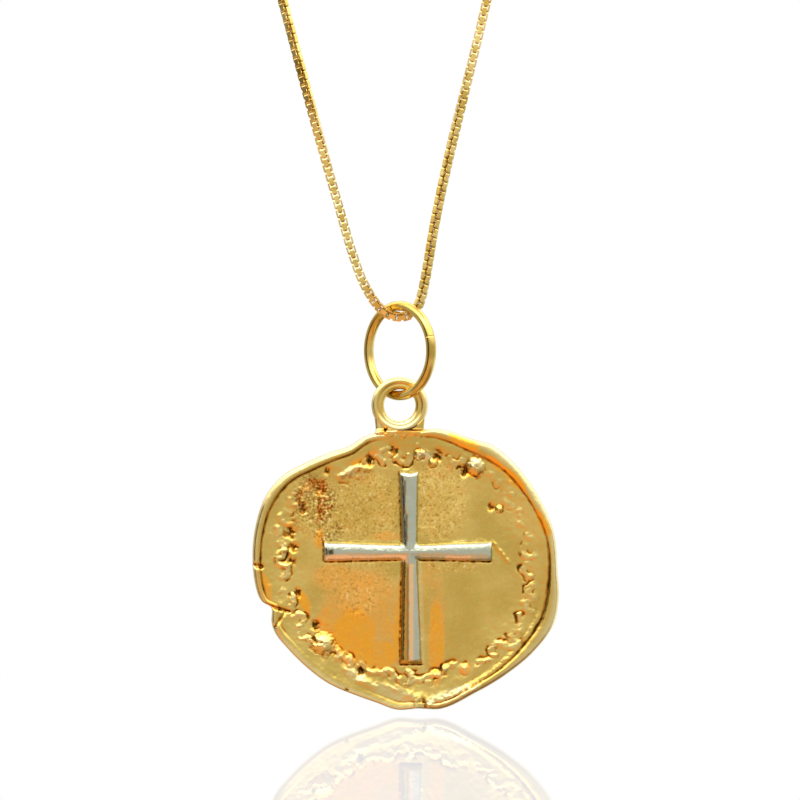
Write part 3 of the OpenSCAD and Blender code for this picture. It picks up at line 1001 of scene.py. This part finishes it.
def neckHalfAt(z):  # half width of the neck at a height under the eye's middle
    top, low = neck["half"]
    share = np.clip((z - neck["low"]) / (neck["top"] - neck["low"]), 0, 1)
    flare = neck["flare"] * smooth(*neck["flareSpan"], z)
    return low + (top - low) * share - neck["waist"] * np.sin(math.pi * share) + flare


def neckDeepAt(x, z, middle):  # half thickness there, where the middle of the plate is so deep
    side = np.clip(1 - (neckHalfAt(z) - abs(x)) / neck["round"], 0, 1)
    return neck["side"] + (middle - neck["side"]) * np.sqrt(1 - side**2)


def eyeNeck():
    bm, u, v = wornGrid(neck["columns"], neck["rows"])
    circle = np.sqrt(np.clip(neck["ringReach"] ** 2 - (u * neck["half"][0]) ** 2, 0, None))
    top = np.minimum(neck["top"], -circle)
    z = neck["low"] + (top - neck["low"]) * (v + 1) / 2
    x = u * neckHalfAt(z)
    across, up, slitHalf, slitHigh, slitDeep = neck["slit"]
    slit = 1 - smooth(0.6, 1.2, np.hypot((x - across) / slitHalf, (z - up) / slitHigh))
    atEye, overRim, inside = neck["front"]
    uneven = noiseAt(x, z, "neck")
    end = z - neck["curve"] * x**2 + 0.25 * uneven
    middle = atEye + (overRim - atEye) * smooth(*neck["rimSpan"], z)
    middle += (inside - overRim) * smooth(*neck["insideSpan"], end) + neck["uneven"] * uneven
    front = -neckDeepAt(x, z, middle) + slitDeep * slit
    # a painted highlight, and under the eye the painted warm reflection and painted shade
    spot = patches(x, z, [neck["spot"]])
    warm = smooth(*neck["warmSpan"], z) * (1 - slit) * (1 - spot)
    line = warm * smooth(*neck["lineLow"], z) * smooth(*neck["lineLeft"], x + 0.5 * uneven)
    layers = {
        "paintedShade": np.clip(slit + line + neck["warmDark"] * warm, 0, 1),
        "warmReflection": neck["warmReflection"] * warm * smooth(2.4, 1.4, x),
        "pale": np.maximum(spot, neck["sidePale"] * smooth(-1.5, -1.9, x)) * (1 - slit),
    }
    setPoints(bm, list(zip(x, front, z)), layers)
    grown = bmesh.ops.extrude_face_region(bm, geom=list(bm.faces), use_keep_orig=True)["geom"]
    for point in pointsOf(grown):
        point.co.y = neckDeepAt(point.co.x, point.co.z, neck["back"])
    bmesh.ops.translate(bm, vec=(0, 0, eyeHeight), verts=bm.verts)
    return bm


def makeMedal():
    bm = medalFront()
    medalEdge(bm)
    addShell(bm, medalBack())
    bmesh.ops.bridge_loops(bm, edges=openRims(bm))
    bmesh.ops.translate(bm, vec=(medalCentre[0], 0, medalCentre[1]), verts=bm.verts)
    addShell(bm, eyeRing())
    addShell(bm, eyeNeck())
    piece = finishPiece(bm, "castMedal", medalGold(), "medal")
    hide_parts("medal")


makeMedal()

print("stage: cross")


def makeCross():
    bm = bmesh.new()
    base = bm.faces.new([bm.verts.new((p.x, 0, p.y)) for p in crossOutline()])
    grown = bmesh.ops.extrude_face_region(bm, geom=[base], use_keep_orig=True)["geom"]
    high = cross["height"] + cross["sunk"]
    rims = edgesOf(grown)
    bmesh.ops.translate(bm, vec=(0, -high, 0), verts=pointsOf(grown))
    bmesh.ops.bevel(
        bm, geom=rims, offset=cross["bevel"], affect="EDGES", segments=6, profile=0.5, material=-1
    )
    centre = Vector((cross["centre"][0], 0, cross["centre"][1]))
    for direction, length, _, _ in cross["arms"]:
        way = Matrix.Rotation(math.radians(-direction), 3, "Y") @ Vector((1, 0, 0))
        for i in range(int((length - cross["sliceEnd"]) / cross["slice"])):
            place = centre + way * (cross["sliceFrom"] + i * cross["slice"])
            bmesh.ops.bisect_plane(bm, geom=everything(bm), dist=1e-5, plane_co=place, plane_no=way)
    for normal in ((1, 0, 0), (0, 0, 1)):
        made = bmesh.ops.bisect_plane(bm, geom=everything(bm), dist=1e-5, plane_co=centre, plane_no=normal)
        for point in [p for p in pointsOf(made["geom_cut"]) if p.co.y < 1e-4 - cross["height"]]:
            point.co.y = -high - cross["ridge"]
    for point in bm.verts:
        spot = point.co * cross["unevenScale"]
        sway = noise.fractal(spot + Vector((7, 0, 0)), 0.8, 2, 2)
        lift = noise.fractal(spot + Vector((0, 0, 9)), 0.8, 2, 2)
        share = min(1, -point.co.y / cross["unevenFrom"])
        point.co += Vector((sway, -0.5 * lift * share, lift)) * cross["uneven"]
    bmesh.ops.triangulate(bm, faces=[f for f in bm.faces if len(f.verts) > 4])
    onField = (medalCentre[0], fieldY + cross["sunk"], medalCentre[1])
    bmesh.ops.translate(bm, vec=onField, verts=bm.verts)
    piece = finishPiece(bm, "silverCross", crossSilver(), "medal")
    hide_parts("cross")


makeCross()

print("stage: jump ring")
ring = {
    "sides": 24,
    "steps": 144,
    "seam": 16.4,  # degrees round, where the wire's ends meet
    "seamShare": 0.14,  # how deep it goes, a share of the wire's radius
    "seamHalf": 0.035,
    "lean": 0.08,  # mm that its top is bent to the left
    "sag": 0.02,  # mm that its top is pressed down
}


def roundRing(radius, wire, sides, steps):  # stands in the plane of the medal
    bm = bmesh.new()
    circle = bmesh.ops.create_circle(bm, segments=sides, radius=wire / 2)["verts"]
    bmesh.ops.translate(bm, vec=(radius, 0, 0), verts=circle)
    spinWhole(bm, everything(bm), 0, steps)
    return bm


def makeJumpRing():
    bm = roundRing(ringRadius, ringWire, ring["sides"], ring["steps"])
    seam = math.radians(ring["seam"])
    across = Vector((-math.sin(seam), 0, math.cos(seam)))
    out = Vector((math.cos(seam), 0, math.sin(seam)))
    for shift in (-ring["seamHalf"], 0, ring["seamHalf"]):
        near = [f for f in bm.faces if f.calc_center_median().dot(out) > 0.9 * ringRadius]
        geom = set(near)
        for face in near:
            geom.update(face.edges)
            geom.update(face.verts)
        place = out * ringRadius + across * shift
        bmesh.ops.bisect_plane(bm, geom=list(geom), dist=1e-4, plane_co=place, plane_no=across)
    for point in bm.verts:
        if abs(point.co.dot(across)) < 0.001 and point.co.dot(out) > 0:
            point.co -= (point.co - out * ringRadius) * ring["seamShare"]
    bmesh.ops.rotate(bm, cent=(0, 0, 0), matrix=Matrix.Rotation(-ringTurn, 3, "Z"), verts=bm.verts)
    for point in bm.verts:
        share = (point.co.z / ringRadius + 1) / 2
        point.co.x -= ring["lean"] * share**2
        point.co.z -= ring["sag"] * share
    bmesh.ops.translate(bm, vec=(0, 0, ringHeight), verts=bm.verts)
    gold = wireGold("ringGold", roughness=0.12, size=1)
    piece = finishPiece(bm, "jumpRing", gold, "jump_ring")
    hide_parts("jump_ring")


makeJumpRing()

print("stage: chain")
chain = {
    # across and height over the lowest point, the same as in the part
    "route": [
        (-5.25, 196.65), (-12.4, 195), (-19.8, 191.4), (-26.6, 185.8), (-32.2, 178.6), (-36.4, 170),
        (-38.7, 160), (-38.8, 149), (-36.6, 136), (-32, 116), (-25.6, 88), (-11, 29.7),
        (-5.6, 9.9), (-4.4, 5.8), (-3.5, 3.4), (-2.9, 2.25), (-2.28, 1.32), (-1.65, 0.62),
        (-0.9, 0.15), (-0.1, 0), (0.7, 0.1), (1.3, 0.45), (1.75, 1.05), (2.05, 1.9),
        (2.3, 3), (2.6, 4.6), (3.1, 7.6), (8.2, 29.7), (22.2, 90), (29.3, 118),
        (34.6, 138.5), (37.6, 152), (38.2, 162.5), (36.2, 172), (31.9, 180), (26.2, 186.6),
        (19.4, 191.4), (12.2, 195), (5.25, 196.65),
    ],
    "curveSteps": 24,
    "pitch": 0.445,
    "strip": 0.43,  # width of the strip that each link is bent from
    "thick": 0.2,
    "corner": 0.12,
    "twist": (20, 22),  # degrees that the hanging strands are turned about themselves, mean and swing
    "twistWave": 6.5,
    "twistEnd": 150,  # mm from the lowest point past which the links lie flat
}


def boxLink():  # a square loop of flat strip in the XZ plane
    bm = bmesh.new()
    bmesh.ops.create_cube(bm, size=1)
    bmesh.ops.scale(bm, vec=(chainWidth, chain["strip"], chainWidth), verts=bm.verts)
    sides = [f for f in bm.faces if abs(f.normal.y) > 0.9]  # the two that the hole goes through
    bmesh.ops.inset_individual(bm, faces=sides, thickness=chain["thick"])
    bmesh.ops.delete(bm, geom=sides, context="FACES_ONLY")
    bmesh.ops.bridge_loops(bm, edges=openRims(bm))
    outer = [e for e in bm.edges if all(abs(p.co.x) > 0.49 * chainWidth for p in e.verts)]
    outer = [e for e in outer if abs(e.verts[0].co.z - e.verts[1].co.z) < 1e-4]  # the four corners
    bmesh.ops.bevel(
        bm, geom=outer, offset=chain["corner"], affect="EDGES", segments=2, profile=0.5, material=-1
    )
    mesh = bpy.data.meshes.new("link")
    bm.to_mesh(mesh)
    bm.free()
    return mesh


def chainCurve():
    steps = chain["curveSteps"]
    points = [Vector((x, 0, z + chainLow)) for x, z in chain["route"]]
    count = len(points)
    gaps = [(points[i + 1] - points[i]).length for i in range(count - 1)]
    headings = [(points[1] - points[0]) / gaps[0]]
    for i in range(1, count - 1):  # a mean of the ways before and after, the shorter stretch counts more
        before = (points[i] - points[i - 1]) / gaps[i - 1]
        after = (points[i + 1] - points[i]) / gaps[i]
        headings.append((before * gaps[i] + after * gaps[i - 1]) / (gaps[i] + gaps[i - 1]))
    headings.append((points[-1] - points[-2]) / gaps[-1])
    curve = []
    for i in range(count - 1):
        for j in range(steps):
            curve.append(ease(points[i], points[i + 1], headings[i], headings[i + 1], gaps[i], j / steps))
    curve.append(points[-1])
    return curve


def makeChain():
    curve = chainCurve()
    lengths = np.concatenate([[0], np.cumsum([(b - a).length for a, b in zip(curve, curve[1:])])])
    # an odd number of links, so that both ends lie alike
    count = int((lengths[-1] - chainWidth) / chain["pitch"]) // 2 * 2 + 1
    start = (lengths[-1] - (count - 1) * chain["pitch"]) / 2
    places = start + np.arange(count) * chain["pitch"]
    xs = np.interp(places, lengths, [p.x for p in curve])
    xs = np.clip(xs, cadBox[0][0] / mm + chainWidth / 2, cadBox[1][0] / mm - chainWidth / 2)
    zs = np.interp(places, lengths, [p.z for p in curve])
    lowest = lengths[int(np.argmin([p.z for p in curve]))]
    link = boxLink()
    mean, swing = chain["twist"]
    bm = bmesh.new()
    for i in range(count):
        before = max(i - 1, 0)
        after = min(i + 1, count - 1)
        tangent = Vector((xs[after] - xs[before], 0, zs[after] - zs[before])).normalized()
        aside = Vector((tangent.z, 0, -tangent.x))
        along = places[i] - lowest
        twist = mean + swing * math.sin(along / chain["twistWave"])
        twist *= max(0, 1 - (along / chain["twistEnd"]) ** 2)
        spin = Matrix.Rotation(math.radians(90 * (i % 2) + 90 + twist), 3, tangent)
        turn = Matrix((aside, (0, 1, 0), tangent)).transposed()
        placed = Matrix.Translation((xs[i], 0, zs[i])) @ (spin @ turn).to_4x4()
        one = link.copy()
        one.transform(placed)
        bm.from_mesh(one)
        bpy.data.meshes.remove(one)
    bpy.data.meshes.remove(link)
    print("links:", count, "faces:", len(bm.faces))
    gold = wireGold("chainGold", roughness=0.24, size=0.8, tone="link")
    piece = finishPiece(bm, "boxChain", gold, "chain", rounded=False)
    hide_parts("chain")


makeChain()

print("stage: clasp")
clasp = {
    # rings: radius, wire, sides, steps
    "ring": (2.4, 1.2, 20, 72),
    "eyelet": (0.9, 0.6, 14, 40),
    "tie": (0.74, 0.25, 10, 32),  # the oval link between eyelet and chain
    "eyeletAt": 3.7,
    "tieAt": (4.84, -0.2),
    "tieLean": 15,  # degrees
    "tieFlat": 0.62,  # its height as a share of its length
}


def makeClasp():
    bm = roundRing(*clasp["ring"])
    level = Matrix.Rotation(math.radians(90), 3, "X")
    half, wire, _, _ = clasp["tie"]
    across, up = clasp["tieAt"]
    for side in (-1, 1):
        eyelet = roundRing(*clasp["eyelet"])
        bmesh.ops.rotate(eyelet, cent=(0, 0, 0), matrix=level, verts=eyelet.verts)
        bmesh.ops.translate(eyelet, vec=(side * clasp["eyeletAt"], 0, 0), verts=eyelet.verts)
        addShell(bm, eyelet)
        tie = roundRing(*clasp["tie"])
        for point in tie.verts:
            radius = point.co.xz.length
            point.co.z *= clasp["tieFlat"] + (1 - clasp["tieFlat"]) * (radius - half + wire / 2) / half
        lean = Matrix.Rotation(math.radians(clasp["tieLean"] * side), 3, "Y")
        bmesh.ops.rotate(tie, cent=(0, 0, 0), matrix=lean, verts=tie.verts)
        bmesh.ops.translate(tie, vec=(side * across, 0, up), verts=tie.verts)
        addShell(bm, tie)
    gold = wireGold("claspGold", roughness=0.14, size=1)
    piece = finishPiece(bm, "roundClasp", gold, "chain")
    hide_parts("clasp")


makeClasp()

print("stage: studio")
studio = {
    "floor": -234.3,  # mm, just under the medal
    "floorSize": 6000,
    "mirror": 0.25,  # how much of the floor's light is its reflection, under the medal
    "mirrorFull": 55,  # mm round the medal in which it shows whole
    "mirrorEnd": 130,
    "backdropAway": 1800,
    "backdropSize": 3000,
    "topBox": ((-120, -260, 160), 300, 160, 1.6),  # place, width, height, brightness
    "aim": -215,  # height that it points at
    "rearLeft": (0.5, 0.47, 0.42),  # linear colour that the metal mirrors, under those of the next table
}
# what else it mirrors, each over those before: the way that it lies, how far a reflection goes that way
# where it begins and where it is whole, and its linear colour
surroundings = {
    "rearRight": ((1, 0, 0), -0.4, 0.25, (1.2, 1.2, 1.15)),
    "camera": ((0, -1, 0), -0.5, 0.2, (0.72, 0.72, 0.7)),
    "above": ((0, 0, 1), 0.1, 0.8, (2.9, 2.9, 2.8)),
    "overhead": ((0, 0, 1), 0.84, 0.95, (1.5, 1.5, 1.45)),
    "below": ((0, 0, -1), 0.3, 0.75, (0.4, 0.3, 0.2)),
    "warm": ((-0.42, -0.62, -0.66), 0.7, 0.9, (1.0, 0.58, 0.33)),
    "dark": ((-0.9, -0.43, 0), 0.88, 0.97, (0.12, 0.11, 0.09)),
}
white = (1.0, 1.0, 1.0)


def makeSurroundings():
    world = bpy.data.worlds.new("studio")
    bpy.context.scene.world = world
    sky = Finish("studio", world)
    way = sky.node("TexCoord", output="Generated")
    colour = studio["rearLeft"]
    for direction, begins, whole, light in surroundings.values():
        share = sky.window(sky.vector("DOT_PRODUCT", way, direction, "Value"), begins, whole)
        colour = sky.mix(share, colour, light)
    seen = sky.node("LightPath", output="Is Camera Ray")
    sky.plug(sky.tree.nodes["Background"].inputs["Color"], sky.mix(seen, colour, white))


def glowing(name, mirror=None):  # plain white, with a clear reflection where the mirror's share says so
    finish = Finish(name)
    light = finish.node("Emission", values={"Color": (*white, 1), "Strength": 1})
    if mirror:
        gloss = finish.node("BsdfGlossy", values={"Color": (*white, 1), "Roughness": 0.02})
        light = finish.node("MixShader", values={0: mirror(finish), 1: light, 2: gloss})
    finish.plug(finish.tree.nodes["Material Output"].inputs["Surface"], light)
    return finish.owner


def floorMirror(finish):  # strongest under the medal
    level = finish.vector("MULTIPLY", finish.places(), (1, 1, 0))
    away = finish.vector("LENGTH", level, output="Value")
    return studio["mirror"] * finish.window(away, studio["mirrorEnd"], studio["mirrorFull"])


def addPlane(name, size, place, turn, material):
    bm = bmesh.new()
    bmesh.ops.create_grid(bm, x_segments=1, y_segments=1, size=size / 2)
    tilt = Matrix.Rotation(math.radians(turn), 3, "X")
    bmesh.ops.rotate(bm, cent=(0, 0, 0), matrix=tilt, verts=bm.verts)
    bmesh.ops.translate(bm, vec=place, verts=bm.verts)
    made = addMesh(bm, name, material)
    return made


def addSoftbox(name):
    place, width, height, brightness = studio[name]
    data = bpy.data.lights.new(name, "AREA")
    data.shape = "RECTANGLE"
    data.size = width * mm
    data.size_y = height * mm
    data.energy = brightness * math.pi * data.size * data.size_y
    lamp = bpy.data.objects.new(name, data)
    bpy.context.scene.collection.objects.link(lamp)
    lamp.location = Vector(place) * mm
    aim = Vector((0, 0, studio["aim"])) * mm - lamp.location
    lamp.rotation_mode = "QUATERNION"
    lamp.rotation_quaternion = aim.to_track_quat("-Z", "Y")
    lamp.visible_camera = False


def makeStudio():
    makeSurroundings()
    under = (0, 0, studio["floor"])
    floor = addPlane("floor", studio["floorSize"], under, 0, glowing("floorWhite", floorMirror))
    floor.visible_glossy = False
    behind = (0, studio["backdropAway"], 0)
    addPlane("backdrop", studio["backdropSize"], behind, 90, glowing("backdropWhite"))
    addSoftbox("topBox")


makeStudio()
bpy.context.scene.view_settings.view_transform = "Standard"
